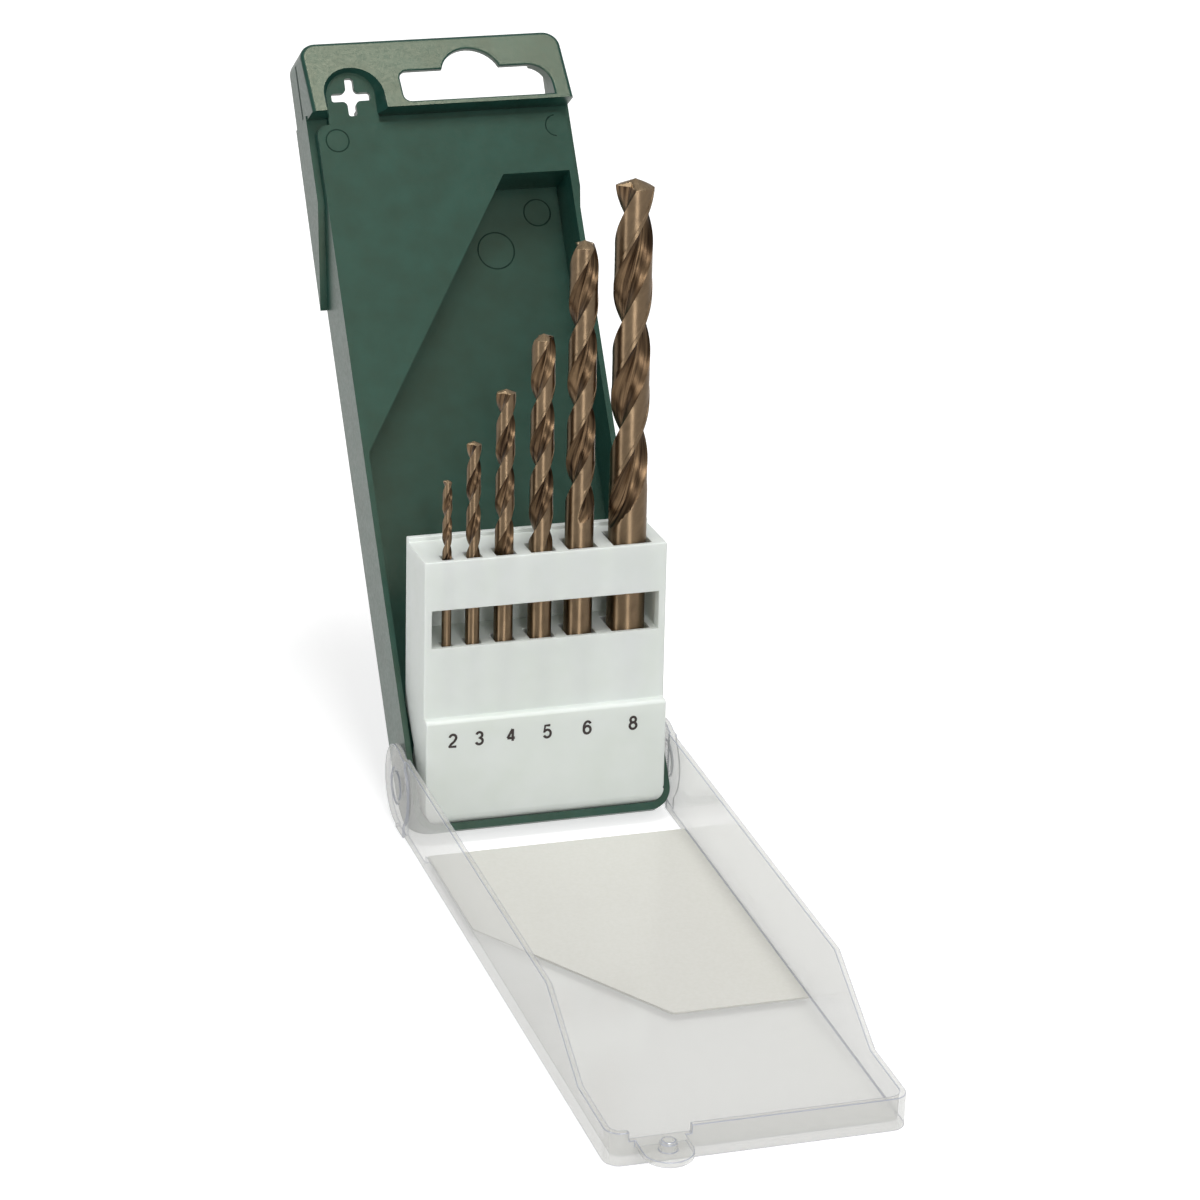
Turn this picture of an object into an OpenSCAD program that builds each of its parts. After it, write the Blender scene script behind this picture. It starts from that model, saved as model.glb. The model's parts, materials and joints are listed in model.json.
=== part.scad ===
// Hinged case for six twist drills, shown open: the clear lid lies flat as a foot,
// the back shell leans behind it and the drill holder is tipped forward.
// Millimetres, +Z up. The hinge axis runs along X.
// Each piece is drawn in the closed frame (X across, Z up the case, -Y to the front)
// and then turned about the hinge into its open position.

/* [Case] */
// Width over the lid side walls
case_width = 59.1; // [58:0.1:64]
// Hinge axis to the front face of the closed case
hinge_to_front = 9.55; // [9.4:0.05:10]
// Hinge axis to the back face of the shell
hinge_to_back = 8.7; // [8.4:0.1:9.6]
// Hinge axis to the top of the hang header
hinge_to_top = 163.1; // [163.1:0.1:172]
// Lean of the open shell from upright, degrees
shell_lean = 35.9; // [30:0.1:40]
// Lean of the holder from upright when the case is open, degrees
holder_lean = 2.8; // [0:0.1:6]

/* [Lid] */
// Thickness of the lid side walls and end wall
lid_wall = 1.2; // [1:0.05:1.6]
// Thickness of the lid front panel
lid_panel = 1.4; // [1:0.1:1.6]
// Gap between the lid and the shell
lid_gap = 0.3; // [0.25:0.05:0.6]
// Hinge axis to the near edge of the lid panel
panel_start = 18.1; // [18.1:0.1:22]
// Height of the deep side walls over the front face
lid_depth = 17.6; // [16:0.1:17.6]
// Height of the low walls at the far end
lid_depth_low = 6.9; // [6.7:0.1:7.3]
// Where the rim starts to fall from deep to low
rim_slope_start = 106; // [96:1:110]
// Where the rim has reached its low height
rim_slope_end = 127.2; // [124:0.2:130]
// Radius of the hinge ears
ear_r = 8.85; // [7:0.05:9]
// How far the ears stand out from the side walls
ear_out = 0.45; // [0.2:0.05:0.6]
// Hinge axis to the step between the ears and the side walls
ear_step_u = 5.8; // [4:0.1:8]
// Radius of the ring round the hinge stud
ear_ring_r = 4; // [3:0.1:6]
// Corner radius at the far end of the lid
lid_corner_r = 3.2; // [1:0.1:4]

/* [Hinge] */
// Radius of the hinge studs on the lid ears
stud_r = 2; // [1.5:0.1:2.4]
// Running clearance round the studs
stud_clearance = 0.05; // [0.02:0.01:0.1]
// Radius of the holder lugs on the studs
lug_r = 4.4; // [4:0.1:5]
// Thickness of the holder lugs
lug_t = 1.9; // [1.5:0.1:2.4]

/* [Latch] */
// Across position of the latch
latch_x = -19.4; // [-19.8:0.1:-19]
// Up position of the latch
latch_u = 150.3; // [150:0.1:150.6]
// Radius of the latch disc
latch_disc_r = 4.9; // [4:0.1:5]
// Thickness of the latch tab
latch_tab = 1.2; // [1:0.1:1.4]
// Length of the snap post on the disc
post_length = 2; // [1.6:0.1:4]
// Radius of the snap post
post_r = 1.7; // [1.2:0.05:1.7]
// Length of the arms of the cross hole, tip to tip
cross_span = 8.6; // [7:0.1:8.8]
// Width of the arms of the cross hole
cross_arm = 1.9; // [1.9:0.05:2.1]
// Fillet in the corners of the cross hole, where the post snaps through
cross_fillet = 1.1; // [1.1:0.05:1.4]

/* [Shell] */
// Thickness of the shell side walls
shell_wall = 1.2; // [1:0.05:1.3]
// Thickness of the shell skin
shell_skin = 1.3; // [1:0.1:1.6]
// Thickness of the bottom wall
bottom_wall = 1.6; // [1.2:0.1:1.7]
// Hinge axis to the outside of the bottom wall
hinge_to_bottom = 11.5; // [11.5:0.1:11.6]
// Radius of the rounded bottom of the shell
bottom_r = 12.7; // [12.5:0.1:13]
// Corner radius of the shell at the bottom
shell_corner_r = 5; // [3:0.1:6]
// Hinge axis to the raised panel
plateau_v = 4.9; // [4.2:0.1:5]
// Top edge of the raised panel
plateau_top = 144; // [143.5:0.1:144]
// Corner radius at the top of the raised panel
plateau_corner_r = 2; // [1:0.1:3]
// Top edge of the deep tray
tray_top = 130.6; // [130:0.1:131.5]
// Across position where the slanting edge meets the tray top
slant_x = 11.8; // [9.5:0.1:13]
// Up position where the slanting edge meets the left wall
slant_low = 69; // [68.5:0.5:75]
// How far the back of the header is in front of the back face
header_back_rise = 1.5; // [0.8:0.1:3]

/* [Header] */
// Hinge axis to the bottom of the header
header_low = 146.2; // [146:0.1:146.4]
// Header front face at its bottom edge
header_front_low = 8.5; // [8:0.1:8.6]
// Header front face at its top edge
header_front_top = 3.7; // [3.4:0.1:4.4]
// Thickness of the header front wall
header_skin = 1.6; // [1.2:0.1:1.8]
// Corner radius at the top of the header
header_corner_r = 3.6; // [3:0.1:5]
// Level of the floor of the latch pocket
pocket_floor_v = 4.1; // [4:0.1:4.2]
// Half width of the latch pocket at its floor
pocket_half = 5.4; // [5.35:0.05:5.5]
// Half width of the latch pocket at the front
pocket_half_front = 6.7; // [6.2:0.1:6.8]
// Depth over which the latch pocket widens
pocket_flare = 3.3; // [2.8:0.1:3.6]
// Half width of the hang slot
slot_half = 16.9; // [16:0.1:17]
// Across position of the hang slot
slot_x = 8.4; // [8.3:0.1:8.8]
// Height of the hang slot
slot_height = 7.6; // [7:0.1:7.8]
// Radius of the arch over the hang slot
slot_arch_r = 6.8; // [6:0.1:7.2]
// Rise of the arch over the hang slot
slot_arch_rise = 4.8; // [4:0.1:4.9]
// Across position of the arch
slot_arch_x = 7.8; // [7:0.1:9]
// How far back the wall at the end of the slot reaches
slot_wall_v = 3.4; // [2:0.1:4.4]
// How far forward the notch in the top wall reaches, behind the arch
notch_v = -0.6; // [-3:0.1:0.4]
// Half width of that notch
notch_half = 7.5; // [7:0.1:8.5]
// How far the notch is to the right of the arch
notch_shift = 1.2; // [0:0.1:2]

/* [Holder] */
// Gap between the holder and the shell walls
holder_gap = 0.7; // [0.5:0.05:1]
// Height of the deck over the hinge axis
deck_u = 51.8; // [50:0.1:54]
// Height of the step in the front face
step_u = 17.4; // [16:0.1:17.4]
// Height of the lip over the deck
lip_height = 1; // [0.5:0.1:2]
// Thickness of the lip and the back wall
lip_t = 1.5; // [1:0.1:2]
// Distance of the bottom of the front plate below the hinge
front_drop = 6.7; // [4:0.1:6.7]
// Radius of the lower front edge
holder_edge_r = 3; // [2:0.1:3]
// Corner radius of the front plate at the bottom
holder_corner_r = 4.5; // [3:0.1:6]
// Front of the sloping back below the drills
holder_slope_v = 5.3; // [4.5:0.1:5.6]
// Height at which the sloping back meets the front plate
holder_slope_low = 3.1; // [2.5:0.1:5]
// Height at which the sloping back meets the back wall
holder_slope_high = 15.5; // [14:0.1:17]
// Side of the holder to the middle of the smallest drill
first_inset = 5.25; // [4:0.05:6]
// Side of the holder to the middle of the largest drill
last_inset = 7.25; // [7:0.05:8]
// Lower edge of the window
window_low = 32.8; // [31:0.1:34]
// Upper edge of the window
window_high = 41.2; // [39:0.1:43]
// Half width of the window
window_half = 24.6; // [24:0.1:24.8]
// Thickness of the front wall at the drills
front_wall = 1; // [0.8:0.1:1.3]
// Clearance of the holder front behind the label card
face_gap = 0.2; // [0.15:0.05:0.5]
// Extra width of the slots round the drills
slot_clear = 0.4; // [0.2:0.05:0.8]
// How far the slots run behind the drills
slot_back = 0.9; // [0.5:0.1:2.5]
// Depth of the open slots under the window
slot_drop = 3; // [1:0.5:6]
// Radial clearance of the drill bores
bore_clearance = 0.05; // [0.02:0.01:0.1]

/* [Card] */
// Thickness of the label card
card_t = 0.4; // [0.2:0.05:0.6]
// Far edge of the card
card_end = 95.3; // [90:0.1:110]
// Far end of the left edge of the card
card_left_end = 52; // [45:0.1:60]
// Gap between the card and the lid walls
card_gap = 0.4; // [0.3:0.05:1]

/* [Drills] */
// Height of the seats of the larger drills
seat_u = 12; // [11.8:0.1:16]
// Length of the 2 mm drill
length_2 = 49; // [45:0.5:55]
// Length of the 3 mm drill
length_3 = 61; // [56:0.5:66]
// Length of the 4 mm drill
length_4 = 75; // [70:0.5:80]
// Length of the 5 mm drill
length_5 = 86; // [80:0.5:90]
// Length of the 6 mm drill
length_6 = 105; // [93:0.5:106]
// Length of the 8 mm drill
length_8 = 117; // [110:0.5:117]

/* [Hidden] */
eps = 0.01;
half = case_width / 2;
tray_half = half - lid_wall - lid_gap;
tray_in = tray_half - shell_wall;
back_v = -hinge_to_back;
floor_v = back_v + shell_skin;
front_v = hinge_to_front;
rim_v = front_v - lid_depth;
rim_low_v = front_v - lid_depth_low;
lid_end = header_low - lid_gap;
head_half = half - 0.25;
head_back_v = back_v + header_back_rise;
holder_half = tray_in - holder_gap;
holder_back_v = floor_v + 0.3;
face_v = front_v - lid_panel - card_t - face_gap;
drill_front_v = face_v - front_wall;
pocket_top = latch_u + pocket_half;
arc_u = -hinge_to_bottom + bottom_r;
arc_v = back_v + bottom_r;
lug_x = holder_half - lug_t;
ear_x = half + ear_out - lid_wall;
// the model stands with the middle of its outline over the origin
y_far = hinge_to_top * sin(shell_lean) - head_back_v * cos(shell_lean);
y_near = -(latch_u + latch_disc_r);
y_mid = (y_far + y_near) / 2;
// across position of a drill, from 0 at the smallest to 1 at the largest
function drill_x(k) = first_inset - holder_half + k * (2 * holder_half - first_inset - last_inset);
// diameter, length, flute length, across position, seat height, flute slices, helix angle and
// the direction in which one flute opens at the point, both in degrees
drills = [
    [2, length_2, 24, drill_x(0), seat_u + 7.8, 26, 26, 10],
    [3, length_3, 33, drill_x(0.1432), seat_u + 3.5, 28, 26.5, 43],
    [4, length_4, 43, drill_x(0.3141), seat_u, 32, 29, 52],
    [5, length_5, 47, drill_x(0.5151), seat_u, 32, 29, 150],
    [6, length_6, 60, drill_x(0.7286), seat_u, 40, 29, 162],
    [8, length_8, 75, drill_x(1), seat_u, 44, 28.5, 25]];

function arc(c, r, a0, a1, n) =
    [for (i = [0:n]) let (a = a0 + (a1 - a0) * i / n) [c[0] + r * cos(a), c[1] + r * sin(a)]];

// turns a piece from the closed frame to its place in the open case
module place(lean) {
    translate([0, -y_mid, hinge_to_front]) rotate([-lean, 0, 0]) children();
}

// a side outline of [v, u] points, extruded across from x0 to x1
module side(x0, x1, pts) {
    translate([x0, 0, 0]) rotate([90, 0, 90]) linear_extrude(x1 - x0)
        polygon([for (p = pts) [-p[0], p[1]]]);
}

// a front outline of [x, u] points, extruded from v0 forward to v1
module front(v0, v1, pts) {
    translate([0, -v0, 0]) rotate([90, 0, 0]) linear_extrude(v1 - v0) polygon(pts);
}

// a front outline with a rounded bottom
function round_bottom(h, low, high, r) = concat([[-h, high]],
    arc([-h + r, low + r], r, 180, 270, 10), arc([h - r, low + r], r, 270, 360, 10),
    [[h, high]]);

// a front outline with a rounded top
function round_top(h, low, high, r) = concat([[-h, low], [h, low]],
    arc([h - r, high - r], r, 0, 90, 10), arc([-h + r, high - r], r, 90, 180, 10));

// ---- back shell ----

// the back face leans forward above the deep part of the rim
function back_at(u) = back_v + header_back_rise * (u - rim_slope_start) /
    (hinge_to_top - rim_slope_start);

slant_rate = (tray_top - slant_low) / (slant_x + tray_half);
function slant_at(x) = tray_top + (x - slant_x) * slant_rate;

wedge = [[header_front_low, header_low], [header_front_top, hinge_to_top],
    [head_back_v, hinge_to_top], [back_at(header_low), header_low]];

module wedge_block() {
    intersection() {
        side(-head_half, head_half, wedge);
        front(-30, 30, round_top(head_half, header_low, hinge_to_top, header_corner_r));
    }
}

function pocket(h, grow) = concat([[latch_x - h - grow, plateau_top - eps],
    [latch_x + h + grow, plateau_top - eps]],
    arc([latch_x, latch_u + 0.2], h + grow, 0, 180, 24));

// the same about the middle of the latch, times k
function pocket_shape(k) = [for (p = pocket(pocket_half, 0)) (p - [latch_x, latch_u]) * k];

module cross_2d() {
    $fn = 32;
    offset(r = 0.5) offset(delta = -0.5) offset(r = -cross_fillet) offset(delta = cross_fillet) {
        square([cross_span, cross_arm], center = true);
        square([cross_arm, cross_span], center = true);
    }
}

slot_low = header_low + 1.2;

// angle at which the arch meets the straight top of the slot
function arch_start(g) = asin((slot_arch_r - slot_arch_rise + g) / (slot_arch_r + g));

function slot_outline(g) = concat(
    arc([slot_x - slot_half + 1.6, slot_low + 1.6], 1.6 + g, 180, 270, 5),
    [[slot_x + slot_half + g, slot_low - g]],
    arc([slot_x + slot_half - 5, slot_low + slot_height - 5], 5 + g, 0, 90, 8),
    arc([slot_arch_x, slot_low + slot_height + slot_arch_rise - slot_arch_r],
        slot_arch_r + g, arch_start(g), 180 - arch_start(g), 16),
    arc([slot_x - slot_half + 1.9, slot_low + slot_height - 1.9], 1.9 + g, 90, 180, 6));

module back_shell() {
    color([0.2, 0.3, 0.27]) place(shell_lean) difference() {
        union() {
            difference() {
                union() {
                    // tray and raised panel
                    intersection() {
                        side(-tray_half, tray_half, concat(
                            [[plateau_v, -hinge_to_bottom]],
                            arc([arc_v, arc_u], bottom_r, 270, 180, 24),
                            [[back_v, rim_slope_start], [back_at(plateau_top), plateau_top],
                                [plateau_v, plateau_top]]));
                        front(-30, 30, concat(
                            arc([tray_half - plateau_corner_r, plateau_top - plateau_corner_r],
                                plateau_corner_r, 0, 90, 8),
                            arc([plateau_corner_r - tray_half, plateau_top - plateau_corner_r],
                                plateau_corner_r, 90, 180, 8),
                            arc([shell_corner_r - tray_half, shell_corner_r - hinge_to_bottom],
                                shell_corner_r, 180, 270, 10),
                            arc([tray_half - shell_corner_r, shell_corner_r - hinge_to_bottom],
                                shell_corner_r, 270, 360, 10)));
                    }
                    // ledge under the lid rim
                    side(-half, half, [[back_v, rim_slope_start + 0.6],
                        [rim_low_v - lid_gap, rim_slope_end + 0.4],
                        [rim_low_v - lid_gap, header_low + 1],
                        [back_at(header_low + 1), header_low + 1]]);
                    wedge_block();
                }
                // deep tray
                intersection() {
                    side(-tray_in, tray_in, concat(
                        [[plateau_v + 5, -hinge_to_bottom + bottom_wall]],
                        arc([arc_v, arc_u], bottom_r - bottom_wall, 270, 180, 24),
                        [[floor_v, rim_slope_start],
                            [back_at(tray_top + 9) + shell_skin, tray_top + 9],
                            [plateau_v + 5, tray_top + 9]]));
                    front(-30, 30, round_bottom(tray_in, -hinge_to_bottom + bottom_wall,
                        hinge_to_top + 10, shell_corner_r - shell_wall));
                    front(-30, 30, [[-40, -20], [40, -20], [40, tray_top],
                        [slant_x, tray_top], [-40, slant_at(-40)]]);
                }
                // open back of the raised panel
                front(-30, plateau_v - shell_skin, [
                    [-tray_in, slant_at(-tray_in) + 2.4], [slant_x - 0.5, tray_top + 1.2],
                    [tray_in, tray_top + 1.2], [tray_in, plateau_top - 1.2],
                    [-tray_in, plateau_top - 1.2]]);
                // open back of the ledge
                front(-30, rim_low_v - lid_gap - shell_skin, [
                    [-half + 1.4, tray_top + 1.2], [half - 1.4, tray_top + 1.2],
                    [half - 1.4, header_low + 1.3], [-half + 1.4, header_low + 1.3]]);
                // open back of the header
                intersection() {
                    side(-30, 30, [[header_front_low - header_skin, header_low + 1.3],
                        [header_front_top - header_skin, hinge_to_top - 0.3],
                        [-30, hinge_to_top - 0.3], [-30, header_low + 1.3]]);
                    front(-30, 30, round_top(head_half - 1.4, header_low + 1.2,
                        hinge_to_top - 1.5, header_corner_r - 1));
                }
            }
            // walls of the latch pocket
            intersection() {
                front(pocket_floor_v - shell_skin, 12, pocket(pocket_half_front, 1.1));
                union() {
                    wedge_block();
                    front(-5, pocket_floor_v, [[latch_x - pocket_half - 0.2, plateau_top - 1],
                        [latch_x + pocket_half + 0.2, plateau_top - 1],
                        [latch_x + pocket_half + 0.2, header_low + 2],
                        [latch_x - pocket_half - 0.2, header_low + 2]]);
                }
            }
            // wall at the end of the hang slot
            intersection() {
                front(slot_wall_v, 12, slot_outline(1.1));
                front(slot_wall_v, 12, [[slot_x + slot_half - 4, slot_low - 2],
                    [slot_x + slot_half + 2, slot_low - 2],
                    [slot_x + slot_half + 2, slot_low + slot_height + 2],
                    [slot_x + slot_half - 4, slot_low + slot_height + 2]]);
                wedge_block();
            }
        }
        // latch pocket, wider to the front
        intersection() {
            union() {
                front(pocket_floor_v, pocket_floor_v + pocket_flare, pocket(pocket_half, 0));
                translate([latch_x, -pocket_floor_v, latch_u]) rotate([90, 0, 0])
                    linear_extrude(height = pocket_flare, scale = pocket_half_front / pocket_half)
                        polygon(pocket_shape(1));
                front(pocket_floor_v + pocket_flare - eps, 12,
                    [for (p = pocket_shape(pocket_half_front / pocket_half))
                        p + [latch_x, latch_u]]);
            }
            front(0, 12, [[-half, plateau_top - eps], [half, plateau_top - eps],
                [half, hinge_to_top + 1], [-half, hinge_to_top + 1]]);
        }
        // hang slot
        front(-5, 12, slot_outline(0));
        // notch in the top wall, so that a hook goes straight through the arch
        front(-30, notch_v, [[slot_arch_x + notch_shift - notch_half, slot_low + slot_height],
            [slot_arch_x + notch_shift + notch_half, slot_low + slot_height],
            [slot_arch_x + notch_shift + notch_half, hinge_to_top + 1],
            [slot_arch_x + notch_shift - notch_half, hinge_to_top + 1]]);
        // cross hole
        translate([latch_x, -pocket_floor_v + 4, latch_u]) rotate([90, 0, 0])
            linear_extrude(8) cross_2d();
        // hinge bores
        translate([-40, 0, 0]) rotate([0, 90, 0])
            cylinder(h = 80, r = stud_r + stud_clearance, $fn = 64);
    }
}

// ---- lid ----

rim_side = [[front_v, 0], [rim_v, 0], [rim_v, rim_slope_start],
    [rim_low_v, rim_slope_end], [rim_low_v, lid_end], [front_v, lid_end]];

module lid_outline(h, end, r) {
    rotate([90, 0, 0]) linear_extrude(60, center = true)
        polygon(concat([[-h, -20], [h, -20]], arc([h - r, end - r], r, 0, 90, 8),
            arc([-h + r, end - r], r, 90, 180, 8)));
}

module lid() {
    color([0.85, 0.87, 0.86, 0.4]) place(-90) {
        difference() {
            intersection() {
                side(-half, half, rim_side);
                lid_outline(half, lid_end, lid_corner_r);
            }
            // inside
            intersection() {
                side(-half + lid_wall, half - lid_wall, [[front_v - lid_panel, -1],
                    [-30, -1], [-30, lid_end - lid_wall],
                    [front_v - lid_panel, lid_end - lid_wall]]);
                lid_outline(half - lid_wall, lid_end - lid_wall, lid_corner_r - 0.8);
            }
            // opening between the arms
            side(-half + lid_wall, half - lid_wall, [[-30, -1], [30, -1],
                [30, panel_start], [-30, panel_start]]);
            // notch in the end wall at the latch
            front(rim_v - 10, pocket_floor_v + 0.3, [[latch_x - pocket_half - 0.6, lid_end - 5],
                [latch_x + pocket_half + 0.6, lid_end - 5],
                [latch_x + pocket_half + 0.6, lid_end + 5],
                [latch_x - pocket_half - 0.6, lid_end + 5]]);
            // the arms step out round the hinge
            for (s = [-1, 1]) side(s > 0 ? half - lid_wall - 1 : -half - 1,
                s > 0 ? half + 1 : -half + lid_wall + 1,
                [[-30, -20], [30, -20], [30, ear_step_u - lid_wall], [-30, ear_step_u - lid_wall]]);
        }
        for (s = [-1, 1]) scale([s, 1, 1]) {
            // ear with a ring groove, and hinge stud
            difference() {
                union() {
                    translate([ear_x, 0, 0]) rotate([0, 90, 0])
                        cylinder(h = lid_wall, r = ear_r, $fn = 96);
                    side(ear_x, ear_x + lid_wall, [[front_v, 0], [rim_v, 0],
                        [rim_v, ear_step_u], [front_v, ear_step_u]]);
                }
                translate([ear_x + lid_wall - 0.3, 0, 0]) rotate([0, 90, 0]) difference() {
                    cylinder(h = 1, r = ear_ring_r, $fn = 64);
                    translate([0, 0, -1]) cylinder(h = 3, r = ear_ring_r - 0.9, $fn = 64);
                }
            }
            translate([lug_x + 0.3, 0, 0]) rotate([0, 90, 0])
                cylinder(h = ear_x + 0.3 - lug_x, r = stud_r, $fn = 64);
        }
        // latch tab with its snap post
        front(pocket_floor_v + 0.3, pocket_floor_v + 0.3 + latch_tab, concat(
            [[latch_x - latch_disc_r, lid_end - 0.6], [latch_x + latch_disc_r, lid_end - 0.6]],
            arc([latch_x, latch_u], latch_disc_r, 0, 180, 32)));
        translate([latch_x, -pocket_floor_v - 0.3 - eps, latch_u]) rotate([-90, 0, 0]) {
            cylinder(h = post_length - 0.4 + eps, r = post_r, $fn = 64);
            translate([0, 0, post_length - 0.4]) cylinder(h = 0.4, r1 = post_r, r2 = post_r - 0.4,
                $fn = 64);
        }
    }
}

module label_card() {
    h = half - lid_wall - card_gap;
    color([0.88, 0.87, 0.82]) place(-90)
        front(front_v - lid_panel - card_t, front_v - lid_panel, [[-h, panel_start + 0.4],
            [h, panel_start + 0.4], [h, card_end], [0, card_end], [-h, card_left_end]]);
}

// ---- holder ----

function drill_v(d) = drill_front_v - bore_clearance - d / 2;

module bit_holder() {
    color([0.86, 0.87, 0.83]) place(holder_lean) difference() {
        union() {
            intersection() {
                side(-holder_half, holder_half, concat(
                    [[front_v - 0.5, step_u], [face_v, step_u], [face_v, deck_u],
                        [holder_back_v + lip_t, deck_u],
                        [holder_back_v + lip_t, deck_u + lip_height],
                        [holder_back_v, deck_u + lip_height], [holder_back_v, holder_slope_high],
                        [holder_slope_v, holder_slope_low], [holder_slope_v, -front_drop + 1]],
                    arc([front_v - holder_edge_r, -front_drop + holder_edge_r], holder_edge_r,
                        240, 360, 12),
                    [[front_v, step_u - 0.5]]));
                front(-30, 30, round_bottom(holder_half, -front_drop, deck_u + 30,
                    holder_corner_r));
            }
            // lugs on the hinge studs
            for (s = [-1, 1]) scale([s, 1, 1]) translate([lug_x, 0, 0]) {
                rotate([0, 90, 0]) cylinder(h = lug_t, r = lug_r, $fn = 64);
                side(0, lug_t, [[0, 0], [lug_r * 0.6, -lug_r * 0.8 + 0.01], [6, -3], [6, 6],
                    [0, 9], [-lug_r * 0.7, lug_r * 0.7]]);
            }
        }
        // window, open to the back wall
        front(holder_back_v + lip_t, 20, [[-window_half, window_low],
            [window_half, window_low], [window_half, window_high], [-window_half, window_high]]);
        for (b = drills) {
            d = b[0];
            w = d / 2 + slot_clear / 2;
            // slots through the deck and just under the window
            front(drill_front_v - d - slot_back, drill_front_v, [[b[3] - w, window_high - eps],
                [b[3] + w, window_high - eps], [b[3] + w, deck_u + 9], [b[3] - w, deck_u + 9]]);
            front(drill_front_v - d - slot_back, drill_front_v, [[b[3] - w, window_low - slot_drop],
                [b[3] + w, window_low - slot_drop], [b[3] + w, window_low + 1],
                [b[3] - w, window_low + 1]]);
            // bore down to the seat
            translate([b[3], -drill_v(d), b[4]])
                cylinder(h = window_low - b[4], r = d / 2 + bore_clearance, $fn = 64);
        }
        for (s = [-1, 1]) scale([s, 1, 1]) translate([lug_x - 1, 0, 0]) rotate([0, 90, 0])
            cylinder(h = lug_t + 2, r = stud_r + stud_clearance, $fn = 64);
    }
}

// ---- drills ----

// half outline of the fluted section as [angle from the middle of the flute, share of the radius]
flute_form = [[-49, 1], [-38, 0.7], [-18, 0.42], [8, 0.36], [32, 0.56], [51, 1],
    [78, 1], [105, 1]];

// one ring of the fluted body: depth 0 is round, 1 is fully fluted
function ring(r, depth, turn, z) = [for (k = [0, 180]) for (p = flute_form)
    let (q = r * (1 - (1 - p[1]) * depth), a = p[0] + k + turn) [q * cos(a), q * sin(a), z]];

module drill(i) {
    b = drills[i];
    d = b[0];
    r = d / 2 * 0.985;
    n = b[5];
    low = b[1] - b[2] - 0.3;
    high = b[1] - r * 0.42;
    rate = 360 * tan(b[6]) / (PI * d);
    turn = b[7] - rate * (high - low);
    points = concat([for (j = [0:n]) let (z = low + (high - low) * j / n)
        each ring(r, min(1, (z - low) / (d * 1.3)), turn + rate * (z - low), z)],
        ring(r * 0.14, 1, b[7], b[1]));
    sides = [for (j = [0:n]) for (m = [0:15]) let (e = (m + 1) % 16) each [
        [j * 16 + m, j * 16 + 16 + m, j * 16 + 16 + e], [j * 16 + m, j * 16 + 16 + e, j * 16 + e]]];
    color([0.56, 0.45, 0.34]) place(holder_lean) translate([b[3], -drill_v(d), b[4]]) {
        cylinder(h = 0.4, r1 = d / 2 - 0.3, r2 = d / 2, $fn = 64);
        translate([0, 0, 0.4]) cylinder(h = b[1] - b[2] - 0.4, r = d / 2, $fn = 64);
        polyhedron(points, concat([[for (m = [0:15]) m]],
            sides, [[for (m = [15:-1:0]) (n + 1) * 16 + m]]));
    }
}

module drill_bit_2mm() { drill(0); }
module drill_bit_3mm() { drill(1); }
module drill_bit_4mm() { drill(2); }
module drill_bit_5mm() { drill(3); }
module drill_bit_6mm() { drill(4); }
module drill_bit_8mm() { drill(5); }

back_shell();
lid();
label_card();
bit_holder();
drill_bit_2mm();
drill_bit_3mm();
drill_bit_4mm();
drill_bit_5mm();
drill_bit_6mm();
drill_bit_8mm();
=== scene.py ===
import json
import math

import bpy
from mathutils import Matrix, Vector
from mathutils.bvhtree import BVHTree


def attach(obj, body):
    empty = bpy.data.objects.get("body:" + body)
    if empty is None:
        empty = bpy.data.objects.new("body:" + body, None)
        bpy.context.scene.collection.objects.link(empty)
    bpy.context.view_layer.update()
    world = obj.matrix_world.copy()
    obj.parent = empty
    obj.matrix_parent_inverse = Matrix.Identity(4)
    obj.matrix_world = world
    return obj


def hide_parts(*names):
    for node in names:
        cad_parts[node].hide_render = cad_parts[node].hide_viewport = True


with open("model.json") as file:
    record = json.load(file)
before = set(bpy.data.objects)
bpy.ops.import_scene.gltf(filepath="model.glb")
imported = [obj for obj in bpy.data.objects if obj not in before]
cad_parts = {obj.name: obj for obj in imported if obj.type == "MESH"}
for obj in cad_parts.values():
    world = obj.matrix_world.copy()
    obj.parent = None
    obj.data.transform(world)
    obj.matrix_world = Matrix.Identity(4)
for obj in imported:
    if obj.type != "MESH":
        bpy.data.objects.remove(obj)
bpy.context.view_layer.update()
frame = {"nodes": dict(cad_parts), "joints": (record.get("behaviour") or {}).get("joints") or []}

MM = 0.001
scene = bpy.context.scene

# places and leans taken from the frame
JOINTS = {j["name"]: j for j in frame["joints"]}
HINGE = Vector(JOINTS["lid_hinge"]["pos_m"])
LID_SWEEP = JOINTS["lid_hinge"]["range_deg"][1]
SHELL_LEAN = math.radians(LID_SWEEP - 90)
HOLDER_LEAN = SHELL_LEAN - math.radians(JOINTS["holder_tilt"]["range_deg"][1])


def place(lean):
    """The matrix that takes the closed frame (X across, -Y to the front, Z up the case, in metres
    from the hinge) to the open case, for a piece that leans back by that angle."""
    return Matrix.Translation(HINGE) @ Matrix.Rotation(-lean, 4, "X")


# ---- materials ----

def srgb(r, g, b):
    """A colour written as 0 to 255 display values, as linear RGBA."""
    def lin(c):
        c /= 255
        return c / 12.92 if c <= 0.04045 else ((c + 0.055) / 1.055) ** 2.4
    return (lin(r), lin(g), lin(b), 1.0)


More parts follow.
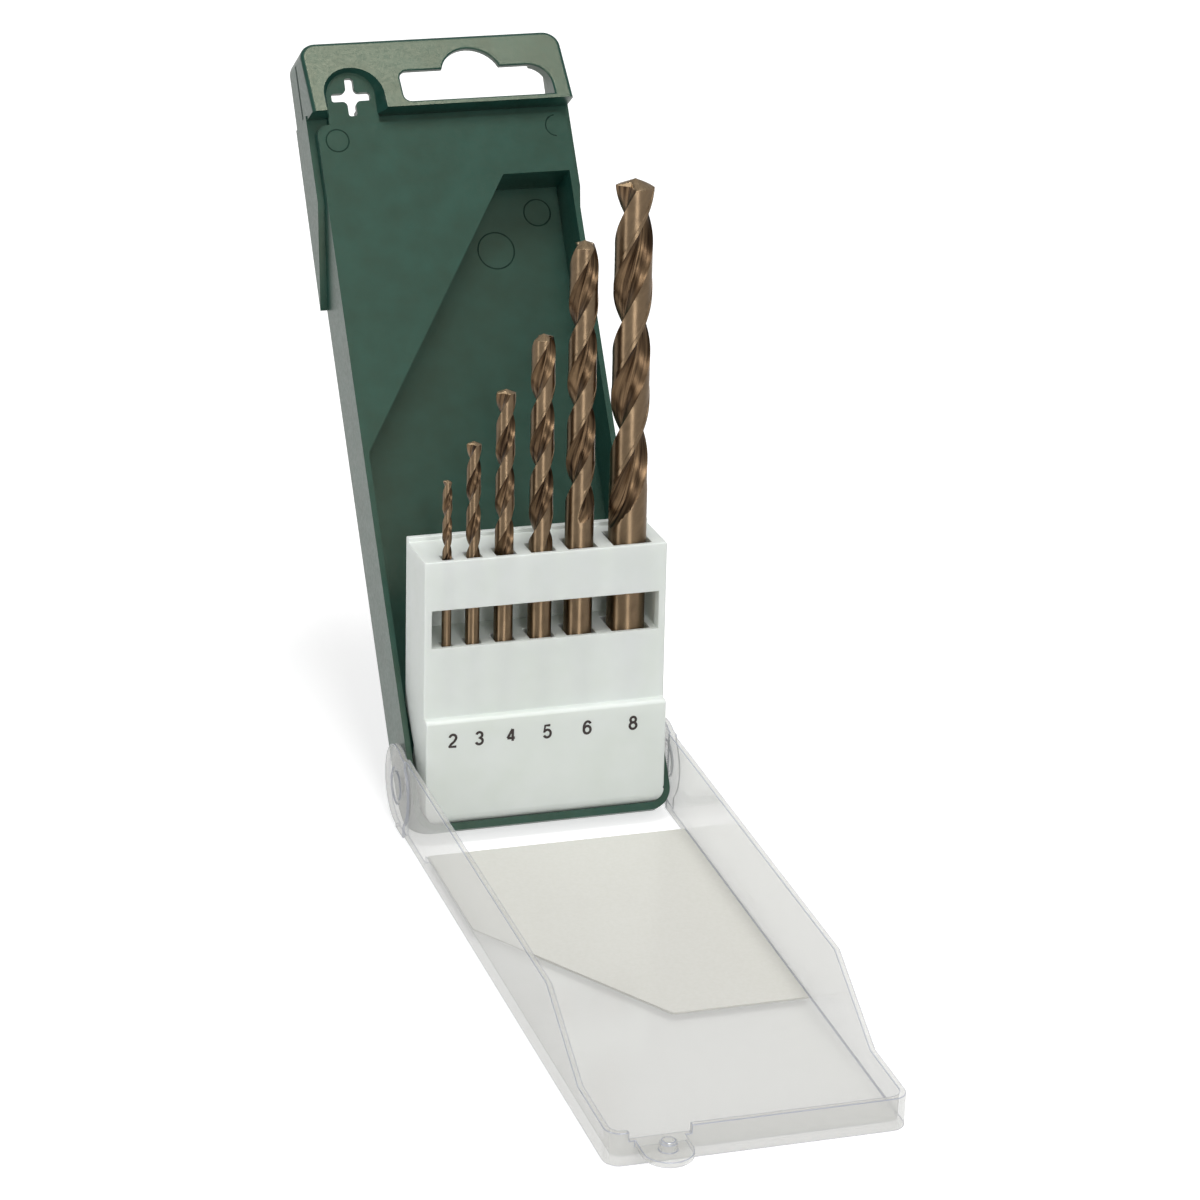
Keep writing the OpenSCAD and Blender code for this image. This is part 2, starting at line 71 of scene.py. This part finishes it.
class Mat:
    """A node material with short helpers."""

    def __init__(self, name, color, rough, **sockets):
        self.m = bpy.data.materials.new(name)
        self.m.use_nodes = True
        self.t = self.m.node_tree
        self.bsdf = self.t.nodes["Principled BSDF"]
        self.set("Base Color", color)
        self.set("Roughness", rough)
        for k, v in sockets.items():
            self.set(k.replace("_", " "), v)

    def set(self, socket, value):
        self.bsdf.inputs[socket].default_value = value

    def node(self, kind, **values):
        n = self.t.nodes.new("ShaderNode" + kind)
        for k, v in values.items():
            if hasattr(n, k):
                setattr(n, k, v)
            else:
                n.inputs[k.replace("_", " ")].default_value = v
        return n

    def link(self, a, b):
        self.t.links.new(a, b)

    def noise(self, scale, detail, stretch=None):
        """Noise in object space, in features per metre. With a stretch it lies in the drill's own
        coordinates, which turn with its flutes, and the scale is in features per millimetre."""
        if stretch:
            wrap = self.node("Attribute", attribute_name="wrap")
            mapping = self.node("Mapping", Scale=stretch)
            self.link(wrap.outputs["Vector"], mapping.inputs["Vector"])
            source = mapping.outputs["Vector"]
        else:
            source = self.node("TexCoord").outputs["Object"]
        n = self.node("TexNoise", Scale=scale, Detail=detail)
        self.link(source, n.inputs["Vector"])
        return n.outputs["Fac"]

    def spread(self, fac, low, high, a=0.3, b=0.7):
        """Takes the range of fac from a to b to the range from low to high."""
        n = self.node("MapRange", From_Min=a, From_Max=b, To_Min=low, To_Max=high)
        self.link(fac, n.inputs["Value"])
        return n.outputs["Result"]

    def rough(self, fac, low, high):
        """Roughness between two values by fac."""
        self.link(self.spread(fac, low, high), self.bsdf.inputs["Roughness"])

    def bump(self, fac, distance, strength):
        n = self.node("Bump", Distance=distance, Strength=strength)
        self.link(fac, n.inputs["Height"])
        self.link(n.outputs["Normal"], self.bsdf.inputs["Normal"])

    def tint(self, fac, dark, light, a=0.3, b=0.7):
        """Base colour between two colours by fac."""
        n = self.node("Mix", data_type="RGBA")
        self.link(self.spread(fac, 0, 1, a, b), n.inputs["Factor"])
        for s in n.inputs:
            if s.type == "RGBA":
                s.default_value = dark if s.name == "A" else light
        result = [o for o in n.outputs if o.type == "RGBA"][0]
        self.link(result, self.bsdf.inputs["Base Color"])


def shell_material():
    """Dark green satin plastic with a fine spark-eroded grain."""
    m = Mat("shell_green", srgb(19, 61, 54), 0.4, IOR=1.5)
    m.set("Specular Tint", (1.0, 0.95, 0.68, 1.0))
    m.tint(m.noise(180, 3), srgb(16, 57, 50), srgb(22, 66, 59))
    m.rough(m.noise(1300, 4), 0.31, 0.4)
    m.bump(m.noise(4200, 3), 0.000024, 0.35)
    return m.m


def mark_shade_material():
    """Painted shade: the dark shadow line of a moulding mark and of the header's groove, as a
    colour.
    """
    m = Mat("shell_mark_shade", srgb(14, 34, 26), 0.6, Specular_IOR_Level=0.15)
    m.tint(m.noise(900, 2), srgb(8, 32, 24), srgb(18, 50, 38))
    return m.m


def holder_material():
    """Off-white moulded plastic, faintly green, with a soft sheen."""
    m = Mat("holder_white", srgb(216, 221, 216), 0.42, IOR=1.48)
    m.tint(m.noise(120, 2), srgb(216, 222, 216), srgb(221, 226, 222))
    m.rough(m.noise(700, 2), 0.38, 0.48)
    m.bump(m.noise(3500, 2), 0.00001, 0.25)
    m.set("Subsurface Weight", 0.35)
    m.set("Subsurface Radius", (1.0, 1.0, 0.9))
    m.set("Subsurface Scale", 0.004)
    return m.m


def card_material():
    """Blank coated card with a faint fibre."""
    m = Mat("card_blank", srgb(214, 212, 204), 0.6, IOR=1.45, Coat_Weight=0.6, Coat_Roughness=0.12)
    m.tint(m.noise(1400, 4), srgb(207, 206, 199), srgb(211, 210, 204))
    m.bump(m.noise(4000, 3), 0.000005, 0.3)
    return m.m


def shank_material():
    """Shank and lands: light bronze, ground in fine lines that run round the drill, so that it
    shines in stripes along it."""
    m = Mat("drill_land", srgb(150, 116, 84), 0.46, Metallic=1.0, Anisotropic=1.0,
            Anisotropic_Rotation=0.25)
    tangent = m.node("Tangent", direction_type="RADIAL", axis="Z")
    m.link(tangent.outputs["Tangent"], m.bsdf.inputs["Tangent"])
    m.tint(m.noise(0.6, 3, (1, 1, 0.5)), srgb(132, 112, 89), srgb(148, 126, 100))
    m.rough(m.noise(9, 2, (0.1, 0.1, 1)), 0.42, 0.52)
    return m.m


def point_material():
    """The freshly ground faces of the point."""
    m = Mat("drill_point", srgb(176, 152, 120), 0.26, Metallic=1.0)
    m.tint(m.noise(2, 3, (1, 1, 1)), srgb(160, 136, 106), srgb(192, 168, 136))
    m.bump(m.noise(5, 2, (1, 1, 1)), 0.00002, 0.4)
    return m.m


def flute_material():
    """Flutes: darker brown than the lands, with light and dark streaks along the helix that are
    painted reflections.
    """
    m = Mat("drill_flute", srgb(110, 84, 64), 0.3, Metallic=1.0)
    # painted reflections: light and dark streaks along the helix in the base colour
    m.tint(m.noise(1.5, 4, (1, 1, 0.05)), srgb(54, 41, 31), srgb(126, 103, 78), 0.36, 0.64)
    m.rough(m.noise(3, 2, (1, 1, 0.08)), 0.3, 0.46)
    m.bump(m.noise(3.5, 2, (1, 1, 0.05)), 0.00005, 0.5)
    return m.m


SHELL = shell_material()
HOLDER = holder_material()
CARD = card_material()
# clear plastic with a slight haze, seen as a thin pane, and its rounded edges in painted shade and
# reflection:
# a darker bluish, more opaque colour that stands in for the refraction lines there
LID = Mat("lid_clear", srgb(205, 205, 200), 0.12, IOR=1.9, Alpha=0.4).m
LID_EDGE_SHADE = Mat("lid_edge_painted_shade", srgb(158, 162, 174), 0.1, IOR=2.0, Alpha=0.65).m
SHANK = shank_material()
FLUTE = flute_material()
POINT_STEEL = point_material()
MARK_SHADE = mark_shade_material()
INK = Mat("ink_dark", srgb(48, 38, 36), 0.6).m


# ---- CAD nodes that stay ----

# corners closer than this are made one, and faces this near to flat are joined
WELD = 0.03 * MM
NEARLY_FLAT = math.radians(0.6)
# edges sharper than these are bevelled where there is no test, and get a hairline where there is
BEVEL_OVER = math.radians(30)
HAIRLINE_OVER = math.radians(34)
HAIRLINE = 0.02 * MM


def dress(node, material, bevels, edge=None, lean=0.0):
    """Gives a CAD node its material and softened edges, with a material of their own if given.
    Each bevel is a width and a test, which gets a corner's place in the closed frame in mm: only
    edges between two corners that pass are softened, or all of them where there is no test."""
    o = frame["nodes"][node]
    o.data.materials.clear()
    o.data.materials.append(material)
    if edge:
        o.data.materials.append(edge)
    for p in o.data.polygons:
        p.use_smooth = True
    weld = o.modifiers.new("weld", "WELD")
    weld.merge_threshold = WELD
    flat = o.modifiers.new("flat", "DECIMATE")
    flat.decimate_type = "DISSOLVE"
    flat.angle_limit = NEARLY_FLAT
    back = place(lean).inverted()
    for k, (width, where) in enumerate(bevels):
        b = o.modifiers.new("bevel_%d" % k, "BEVEL")
        b.width = width
        b.segments = 3
        b.use_clamp_overlap = False
        b.harden_normals = True
        b.material = 1 if edge else -1
        b.limit_method = "ANGLE"
        b.angle_limit = BEVEL_OVER
        if where:
            group = o.vertex_groups.new(name="soft_%d" % k)
            group.add([v.index for v in o.data.vertices if where(back @ v.co / MM)], 1,
                      "REPLACE")
            b.limit_method = "VGROUP"
            b.vertex_group = group.name
    if any(where for _, where in bevels):
        # the other edges get a hairline, which keeps the faces beside them flat
        hair = o.modifiers.new("hair", "BEVEL")
        hair.width = HAIRLINE
        hair.segments = 1
        hair.limit_method = "ANGLE"
        hair.angle_limit = HAIRLINE_OVER
        hair.harden_normals = True
    even = o.modifiers.new("even", "WEIGHTED_NORMAL")
    even.keep_sharp = True


# height and forward level of the header's front, in mm, at its lowest and at its highest line
HEADER_LOW, HEADER_TOP = (146.2, 8.5), (163.1, 3.7)
# across, the header's sides and the start of its rounded corners, and then the corners' height
HEADER_SIDE, HEADER_CORNER, HEADER_ROUND = 29.2, 25.5, 3.7
# the latch pocket across
POCKET_X = (-29, -11)
# the holder's sides across, and its foot
HOLDER_SIDE, HOLDER_FOOT = 26.1, -2.3
# how near a corner lies to the header's front and to its top edge, to count as on it
LEVEL_NEAR, SHARE_NEAR, EDGE_NEAR = 0.03, 0.01, 0.1


def on_header(p):
    share = (p.z - HEADER_LOW[0]) / (HEADER_TOP[0] - HEADER_LOW[0])
    level = HEADER_LOW[1] + (HEADER_TOP[1] - HEADER_LOW[1]) * share
    return -SHARE_NEAR < share < 1 + SHARE_NEAR and abs(-p.y - level) < LEVEL_NEAR


def header_rim(p):
    return on_header(p) and (
        abs(p.x) > HEADER_SIDE or p.z > HEADER_TOP[0] - EDGE_NEAR or
        (abs(p.x) > HEADER_CORNER and p.z > HEADER_TOP[0] - HEADER_ROUND))


def header_slot(p):
    return on_header(p) and not header_rim(p) and not POCKET_X[0] < p.x < POCKET_X[1]


def holder_sides(p):
    return abs(p.x) > HOLDER_SIDE and p.z > HOLDER_FOOT


dress("back_shell", SHELL, [(0.9 * MM, header_rim), (0.45 * MM, header_slot)], None, SHELL_LEAN)
dress("bit_holder", HOLDER, [(0.3 * MM, holder_sides)], None, HOLDER_LEAN)
dress("lid", LID, [(0.2 * MM, None)], LID_EDGE_SHADE)
dress("label_card", CARD, [(0.05 * MM, None)])


# ---- drills ----

# diameter, then flute length, helix angle and direction of the flute at the point, in mm and
# degrees
DRILLS = {2: (24, 26, 10), 3: (33, 26.5, 43), 4: (43, 29, 52), 5: (47, 29, 150),
          6: (60, 29, 162), 8: (75, 28.5, 25)}
# height of the point for each mm of radius
POINT = math.tan(math.radians(22))
# shares of the radius: the web between the flutes, and the land behind the margin
WEB = 0.36
CLEARANCE = 0.97
# how the flute's hollow is rounded: 1 is a sine, less is fuller
FULLNESS = 0.75
# edges of the flute and of the margin beside it, in degrees from the middle of the flute
FLUTE_FROM, FLUTE_TO = -49, 51
MARGIN_FROM = 120
# points round half of the section: in the flute, on the land and on the margin
FLUTE_POINTS, LAND_POINTS, MARGIN_POINTS = 26, 8, 3
# in diameters: where the flute runs out, and the rows along it
RUN_OUT = 1.4
ROW_STEP = 0.05
# the chamfer at the foot, in mm
FOOT_IN, FOOT_UP = 0.3, 0.4
# the point: its rows, and the flat it ends in as a share of the radius
POINT_ROWS, TIP_FLAT = 8, 0.03
# steel below this share of the radius has been cut by the flute
CUT_BELOW = 0.985
EDGE_SPLIT = math.radians(32)


def half_turn():
    """Angles in degrees and share of the radius for half of the fluted section, which repeats."""
    rows = []
    for k in range(FLUTE_POINTS):
        t = 0.5 - 0.5 * math.cos(math.pi * k / FLUTE_POINTS)
        rows.append((FLUTE_FROM + (FLUTE_TO - FLUTE_FROM) * t,
                     1 - (1 - WEB) * math.sin(math.pi * t) ** FULLNESS))
    for k in range(LAND_POINTS + 1):
        rows.append((FLUTE_TO + (MARGIN_FROM - FLUTE_TO) * k / LAND_POINTS, CLEARANCE))
    for k in range(MARGIN_POINTS):
        rows.append((MARGIN_FROM + 1 + (FLUTE_FROM + 179 - MARGIN_FROM) * k / MARGIN_POINTS, 1.0))
    return rows


HALF = half_turn()
SECTION = HALF + [(a + 180, share) for a, share in HALF]
AROUND = len(SECTION)


def node_box(node, lean):
    """Lowest and highest corner of a CAD node in the closed frame, in mm."""
    back = place(lean).inverted()
    points = [back @ v.co / MM for v in frame["nodes"][node].data.vertices]
    return [Vector([pick(p[k] for p in points) for k in range(3)]) for pick in (min, max)]


def drill_mesh(d, flute, helix, direction):
    """A drill with its shank, flutes, run-out and point. Its own Z is its axis."""
    node = "drill_bit_%dmm" % d
    r = d / 2
    low, high = node_box(node, HOLDER_LEAN)
    x, y = (low.x + high.x) / 2, high.y - r
    length = high.z - low.z
    start, tip = length - flute, length - r * POINT
    rate = math.tan(math.radians(helix)) / r
    step = d * ROW_STEP
    # rows up the drill: foot, shank, flute and point
    zs = [0.0, 0.15, FOOT_UP, 2.0, start - 0.3 * d]
    zs += [start + k * step for k in range(int((tip - start) / step))] + [tip]
    zs += [tip + (length - tip) * k / POINT_ROWS for k in range(1, POINT_ROWS + 1)]
    verts, wrap, cut = [], [], []
    for z in zs:
        lift = 1 - math.sin(min(1, max(0, (z - start) / (RUN_OUT * d))) * math.pi / 2)
        cap = max((length - z) / POINT, TIP_FLAT * r) if z > tip else math.inf
        outer = r - FOOT_IN * max(0, 1 - z / FOOT_UP)
        for a, share in SECTION:
            # the cutter lifts out of the steel where the flute ends, so the flute narrows there
            rad = min(outer * min(1, share + (1 - WEB) * lift), cap)
            cut.append(rad < CUT_BELOW * r)
            t = math.radians(a + direction) + rate * (max(z, start) - tip)
            verts.append(Vector((rad * math.cos(t), rad * math.sin(t), z)) * MM)
            wrap.append((r * math.cos(math.radians(a)), r * math.sin(math.radians(a)), z))
    n = len(zs)
    faces = [list(range(AROUND))[::-1], [(n - 1) * AROUND + k for k in range(AROUND)]]
    # which steel each face has: 0 shank and lands, 1 flute, 2 point
    kinds = [0, 0]
    for j in range(n - 1):
        for k in range(AROUND):
            e = (k + 1) % AROUND
            faces.append([j * AROUND + k, j * AROUND + e, (j + 1) * AROUND + e,
                          (j + 1) * AROUND + k])
            in_flute = k % len(HALF) < FLUTE_POINTS and start <= zs[j]
            kinds.append(2 if zs[j] >= tip else int(
                in_flute and (cut[j * AROUND + k] or cut[j * AROUND + e])))
    me = bpy.data.meshes.new("drill_%d" % d)
    me.from_pydata(verts, [], faces)
    me.update()
    field = me.attributes.new("wrap", "FLOAT_VECTOR", "POINT")
    for k, v in enumerate(wrap):
        field.data[k].vector = v
    for steel in (SHANK, FLUTE, POINT_STEEL):
        me.materials.append(steel)
    for p, kind in zip(me.polygons, kinds):
        p.use_smooth = True
        p.material_index = kind
    o = bpy.data.objects.new("drill_%d" % d, me)
    scene.collection.objects.link(o)
    o.matrix_world = place(HOLDER_LEAN) @ Matrix.Translation(Vector((x, y, low.z)) * MM)
    split = o.modifiers.new("edges", "EDGE_SPLIT")
    split.split_angle = EDGE_SPLIT
    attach(o, "drill_%d" % d)
    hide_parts(node)


for diameter, shape in DRILLS.items():
    drill_mesh(diameter, *shape)


# ---- size numbers printed on the holder ----

# middle height, height and half the stroke of a number, and how far it stands out of the holder
# as a share of the stroke
NUMBER_U = 12.9
NUMBER_H = 3.25
STROKE = 0.28
INK_RISE = 0.08
# middles of the numbers across the holder
NUMBER_X = {2: -20.4, 3: -14.7, 4: -7.8, 5: 0.06, 6: 8.8, 8: 18.9}


def bow(cx, cy, rx, ry, a, b, n=14):
    """Points on an ellipse from angle a to angle b in degrees."""
    return [(cx + rx * math.cos(math.radians(a + (b - a) * k / n)),
             cy + ry * math.sin(math.radians(a + (b - a) * k / n))) for k in range(n + 1)]


# middle lines of the strokes of each number, one unit high from the lowest line to the highest
DIGITS = {
    2: [bow(0, 0.74, 0.26, 0.26, 172, -32) + [(0.1, 0.42), (-0.14, 0.22), (-0.27, 0.03),
                                              (-0.27, 0), (0.28, 0)]],
    3: [bow(0, 0.76, 0.23, 0.24, 165, -90) + bow(0, 0.26, 0.27, 0.26, 90, -165)],
    4: [[(0.3, 0.25), (-0.3, 0.25)], [(-0.29, 0.25), (0.11, 1)], [(0.13, 1), (0.13, 0)]],
    5: [[(0.24, 1), (-0.17, 1), (-0.25, 0.5)] + bow(0, 0.32, 0.28, 0.32, 146, -156)],
    6: [bow(0, 0.31, 0.27, 0.31, 180, -180, 28) + bow(0.03, 0.5, 0.3, 0.5, 180, 38)],
    8: [bow(0, 0.77, 0.22, 0.23, -90, 270, 24), bow(0, 0.27, 0.27, 0.27, 90, 450, 24)],
}


def number(d, strokes, y):
    """A drill's size as thin ink strokes on the holder's front, which lies at y."""
    cu = bpy.data.curves.new("number_%d" % d, "CURVE")
    cu.dimensions = "3D"
    cu.bevel_depth = STROKE
    cu.bevel_resolution = 3
    cu.use_fill_caps = True
    tall = NUMBER_H - 2 * STROKE
    for stroke in strokes:
        sp = cu.splines.new("POLY")
        sp.points.add(len(stroke) - 1)
        for point, (px, py) in zip(sp.points, stroke):
            point.co = (px * tall, (py - 0.5) * tall, 0, 1)
    cu.materials.append(INK)
    o = bpy.data.objects.new("number_%d" % d, cu)
    scene.collection.objects.link(o)
    o.matrix_world = (
        place(HOLDER_LEAN) @ Matrix.Translation(Vector((NUMBER_X[d], y, NUMBER_U)) * MM) @
        Matrix.Rotation(math.pi / 2, 4, "X") @ Matrix.Diagonal((MM, MM, MM * INK_RISE, 1)))
    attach(o, "holder")


holder_front = node_box("bit_holder", HOLDER_LEAN)[0].y
for diameter, lines in DIGITS.items():
    number(diameter, lines, holder_front)


# ---- painted shade lines of the moulding marks and the header's groove on the shell ----

shell_mesh = frame["nodes"]["back_shell"].data
surface = BVHTree.FromPolygons(
    [place(SHELL_LEAN).inverted() @ v.co / MM for v in shell_mesh.vertices],
    [list(p.vertices) for p in shell_mesh.polygons])
# where rays towards the shell start, in mm from its middle: in front, beside and above it
RAY_FRONT, RAY_SIDE, RAY_ROUND = 40, 40, 60
# the section of a mark's line: along the surface and out of it
RING_ROWS = [(-0.2, -0.04), (-0.12, 0.03), (0.12, 0.03), (0.2, -0.04)]
LINE_ROWS = [(-0.5, -0.04), (-0.5, 0.02), (0.5, 0.02), (0.5, -0.04)]
RING_STEPS = 64
# the header's painted groove shade line: its start above the header's lowest line, its steps up a
# side and round the top, and how far below the top the rays round the top meet
LINE_START, SIDE_STEPS, ROUND_STEPS, LINE_MIDDLE = 0.6, 12, 40, 8


def height(x, u):
    """How far forward the shell's surface lies at a place on its front."""
    return -surface.ray_cast(Vector((x, -RAY_FRONT, u)), Vector((0, 1, 0)))[0].y


def band(first, second, q):
    """The faces between two sections of q points each, which start at those corners."""
    return [[first + i, first + (i + 1) % q, second + (i + 1) % q, second + i]
            for i in range(q)]


def caps(first, last, q):
    """The two end faces of a line that runs from one section to another."""
    return [[first + i for i in reversed(range(q))], [last + i for i in range(q)]]


def add_mark(name, verts, faces, smooth):
    """A painted shade line of a mark as a mesh on the shell, from places in the closed frame in
    mm.
    """
    m = place(SHELL_LEAN) @ Matrix.Scale(MM, 4)
    me = bpy.data.meshes.new(name)
    me.from_pydata([m @ p for p in verts], [], faces)
    me.update()
    for p in me.polygons:
        p.use_smooth = smooth
    me.materials.append(MARK_SHADE)
    o = bpy.data.objects.new(name, me)
    scene.collection.objects.link(o)
    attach(o, "shell")


def ring_mark(name, x, u, radius, a=0, b=360):
    """A thin raised line in painted shade, as an arc from angle a to angle b on the shell."""
    n, q = RING_STEPS, len(RING_ROWS)
    closed = b - a >= 360
    verts, faces = [], []
    for k in range(n if closed else n + 1):
        t = math.radians(a + (b - a) * k / n)
        for dr, dv in RING_ROWS:
            px, pu = x + (radius + dr) * math.cos(t), u + (radius + dr) * math.sin(t)
            verts.append(Vector((px, -height(px, pu) - dv, pu)))
    for k in range(n):
        faces += band(k * q, ((k + 1) % n if closed else k + 1) * q, q)
    if not closed:
        faces += caps(0, n * q, q)
    add_mark(name, verts, faces, True)


def header_groove_shade(name, v):
    """A dark line of painted groove shade round the sides and the top of the header, with a gap
    where the top is open.
    """
    middle = Vector((0, -v, HEADER_TOP[0] - LINE_MIDDLE))
    climb = [HEADER_LOW[0] + LINE_START + k * (middle.z - HEADER_LOW[0]) / SIDE_STEPS
             for k in range(SIDE_STEPS)]
    rays = [(Vector((-RAY_SIDE, -v, u)), Vector((1, 0, 0))) for u in climb]
    for k in range(ROUND_STEPS + 1):
        t = math.radians(180 - 180 * k / ROUND_STEPS)
        way = Vector((math.cos(t), 0, math.sin(t)))
        rays.append((middle + way * RAY_ROUND, -way))
    rays += [(Vector((RAY_SIDE, -v, u)), Vector((-1, 0, 0))) for u in reversed(climb)]
    runs = [[]]
    for start, way in rays:
        hit = surface.ray_cast(start, way)[0]
        outside = (hit - middle).dot(way) < 0
        if outside and (abs(hit.x) > HEADER_CORNER or hit.z > HEADER_TOP[0] - 1):
            runs[-1].append((hit, way))
        elif runs[-1]:
            runs.append([])
    q = len(LINE_ROWS)
    verts, faces = [], []
    for run in runs:
        first, last = len(verts), len(verts) + (len(run) - 1) * q
        for hit, way in run:
            verts += [hit - way * out + Vector((0, -dv, 0)) for dv, out in LINE_ROWS]
        for k in range(first, last, q):
            faces += band(k, k + q, q)
        faces += caps(first, last, q)
    add_mark(name, verts, faces, False)


# a dark strip of painted shade where the header's groove lies
header_groove_shade("header_groove_shade", -1.2)
# the edges of the moulding marks, as thin lines of painted shade
ring_mark("mark_left", -23.9, 140.4, 2.5)
ring_mark("mark_right", 25.4, 141, 2.4, 95, 265)
ring_mark("mark_large", 11.2, 117, 4.1)
ring_mark("mark_small", 21.7, 125, 3)


# ---- floor, light and camera ----

FLOOR_HALF = 6.0
# just under the case, so that the two don't share a plane
FLOOR_DROP = 0.1 * MM
# how white the floor is near the object and where the lamps no longer reach, and those distances
FLOOR_NEAR, FLOOR_FAR = 0.66, 0.95
NEAR_AT, FAR_AT = 0.3, 1.2
WORLD_LIGHT = 0.35


def floor_material():
    """White paper for the camera, metal and clear plastic, which keeps the object's shadow."""
    m = Mat("floor_pale", (0.6, 0.6, 0.6, 1), 0.9, Specular_IOR_Level=0.1)
    rays = m.node("LightPath")
    seen = m.node("Math", operation="ADD")
    seen_too = m.node("Math", operation="ADD", use_clamp=True)
    m.link(rays.outputs["Is Camera Ray"], seen.inputs[0])
    m.link(rays.outputs["Is Glossy Ray"], seen.inputs[1])
    m.link(seen.outputs[0], seen_too.inputs[0])
    m.link(rays.outputs["Is Transmission Ray"], seen_too.inputs[1])
    away = m.node("VectorMath", operation="LENGTH")
    m.link(m.node("TexCoord").outputs["Object"], away.inputs[0])
    white = m.node("Math", operation="MULTIPLY")
    m.link(seen_too.outputs[0], white.inputs[0])
    m.link(m.spread(away.outputs["Value"], FLOOR_NEAR, FLOOR_FAR, NEAR_AT, FAR_AT),
           white.inputs[1])
    m.link(white.outputs[0], m.bsdf.inputs["Emission Strength"])
    m.set("Emission Color", (1, 1, 1, 1))
    return m.m


floor = bpy.data.meshes.new("floor")
floor.from_pydata([(-FLOOR_HALF, -FLOOR_HALF, 0), (FLOOR_HALF, -FLOOR_HALF, 0),
                   (FLOOR_HALF, FLOOR_HALF, 0), (-FLOOR_HALF, FLOOR_HALF, 0)], [], [(0, 1, 2, 3)])
floor.materials.append(floor_material())
floor_ob = bpy.data.objects.new("floor", floor)
floor_ob.location.z = -FLOOR_DROP
scene.collection.objects.link(floor_ob)

world = bpy.data.worlds.new("world")
scene.world = world
world.use_nodes = True
background = world.node_tree.nodes["Background"]
background.inputs["Color"].default_value = (1, 1, 1, 1)
background.inputs["Strength"].default_value = WORLD_LIGHT

LAMPS_AIM = Vector((0, 0.03, 0.06))


def lamp(name, azimuth, elevation, away, width, height, radiance):
    """A soft box, placed round the object by direction in degrees and distance in metres."""
    az, el = math.radians(azimuth), math.radians(elevation)
    loc = LAMPS_AIM + away * Vector((math.cos(az) * math.cos(el), math.sin(az) * math.cos(el),
                                     math.sin(el)))
    la = bpy.data.lights.new(name, "AREA")
    la.shape = "RECTANGLE"
    la.size, la.size_y = width, height
    la.energy = radiance * math.pi * width * height
    o = bpy.data.objects.new(name, la)
    o.location = loc
    o.rotation_mode = "QUATERNION"
    o.rotation_quaternion = (LAMPS_AIM - loc).to_track_quat("-Z", "Y")
    scene.collection.objects.link(o)


lamp("top", 332, 83.2, 1.1, 0.4, 0.4, 13.5)
lamp("left", 199, 20, 1.3, 0.24, 0.9, 6)
lamp("front", 268, 28, 1.4, 0.38, 1.2, 6)

# the camera stands where the photograph was taken from, worked out from measured edges
PHOTO = 1200
FOCAL_PX = 4484.5
CENTRE_PX = (602.3, 589.2)
CAM_FROM_HINGE = Vector((-258.75, -819.2, 405.5)) * MM
YAW, PITCH, ROLL = (math.radians(a) for a in (-18.41, -22.91, 2.20))
SENSOR = 36

fwd = Vector((-math.sin(YAW) * math.cos(PITCH), math.cos(YAW) * math.cos(PITCH), math.sin(PITCH)))
level_right = Vector((math.cos(YAW), math.sin(YAW), 0))
level_up = level_right.cross(fwd)
right = level_right * math.cos(ROLL) + level_up * math.sin(ROLL)
up = -level_right * math.sin(ROLL) + level_up * math.cos(ROLL)
cam_data = bpy.data.cameras.new("camera")
cam = bpy.data.objects.new("camera", cam_data)
scene.collection.objects.link(cam)
cam.matrix_world = Matrix.Translation(HINGE + CAM_FROM_HINGE) @ Matrix(
    (right, up, -fwd)).transposed().to_4x4()
cam_data.sensor_width = SENSOR
cam_data.lens = SENSOR * FOCAL_PX / PHOTO
cam_data.shift_x = (PHOTO / 2 - CENTRE_PX[0]) / PHOTO
cam_data.shift_y = (CENTRE_PX[1] - PHOTO / 2) / PHOTO
cam_data.clip_start, cam_data.clip_end = 0.05, 20
scene.camera = cam

scene.view_settings.view_transform = "Standard"
